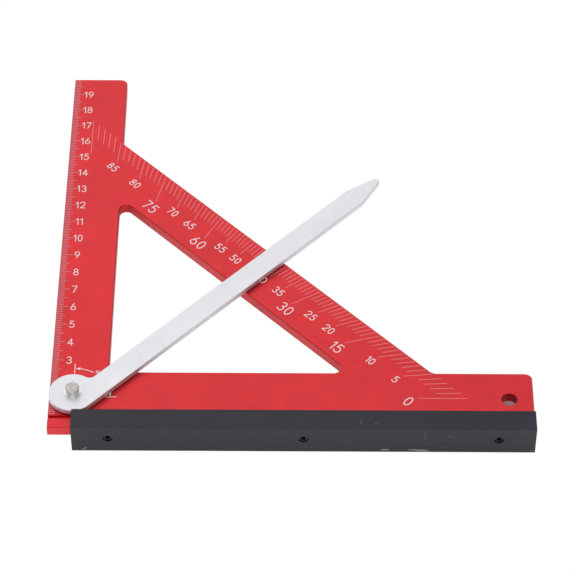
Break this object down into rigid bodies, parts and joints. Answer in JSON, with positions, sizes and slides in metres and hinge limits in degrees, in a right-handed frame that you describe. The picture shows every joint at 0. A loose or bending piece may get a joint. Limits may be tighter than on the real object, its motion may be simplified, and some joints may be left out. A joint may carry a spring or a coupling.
{
  "type": "set square",
  "caption": "Woodworking set square: triangular plate with ruled edge and angle scale, clamped fence, and a swinging measuring arm on a corner pivot.",
  "frame": {"origin": "middle of the bounding box's base: halfway along the fence, 95 mm beyond the fence's working face, level with the fence's underside", "axes": "+X along the fence, away from the ruled edge; +Y along the ruled edge, away from the fence; +Z out of the engraved face"},
  "size_m": [0.2002, 0.21, 0.0164],
  "materials": {
    "plate_red": "red anodised, satin",
    "scale_white": "white paint in engraved lines and figures",
    "fence_black": "black anodised, satin",
    "screw_black": "black oxide steel",
    "arm_silver": "clear anodised, bead blasted",
    "washer_nylon": "natural nylon",
    "pin_nickel": "nickel-plated steel"
  },
  "bodies": {
    "square": {"square_plate": "plate_red", "fence": "fence_black", "grub_screw_left": "screw_black", "grub_screw_middle": "screw_black", "grub_screw_right": "screw_black", "friction_washer": "washer_nylon", "top_washer": "pin_nickel", "pivot_pin": "pin_nickel", "pivot_screw": "pin_nickel"},
    "arm": {"swing_arm": "arm_silver"}
  },
  "joints": [
    {"name": "arm_pivot", "type": "hinge", "parent": "square", "child": "arm", "pos_m": [-0.09025, -0.085, 0.01082], "axis": [0, 0, 1], "range_deg": [-45.6, 214.4]}
  ]
}
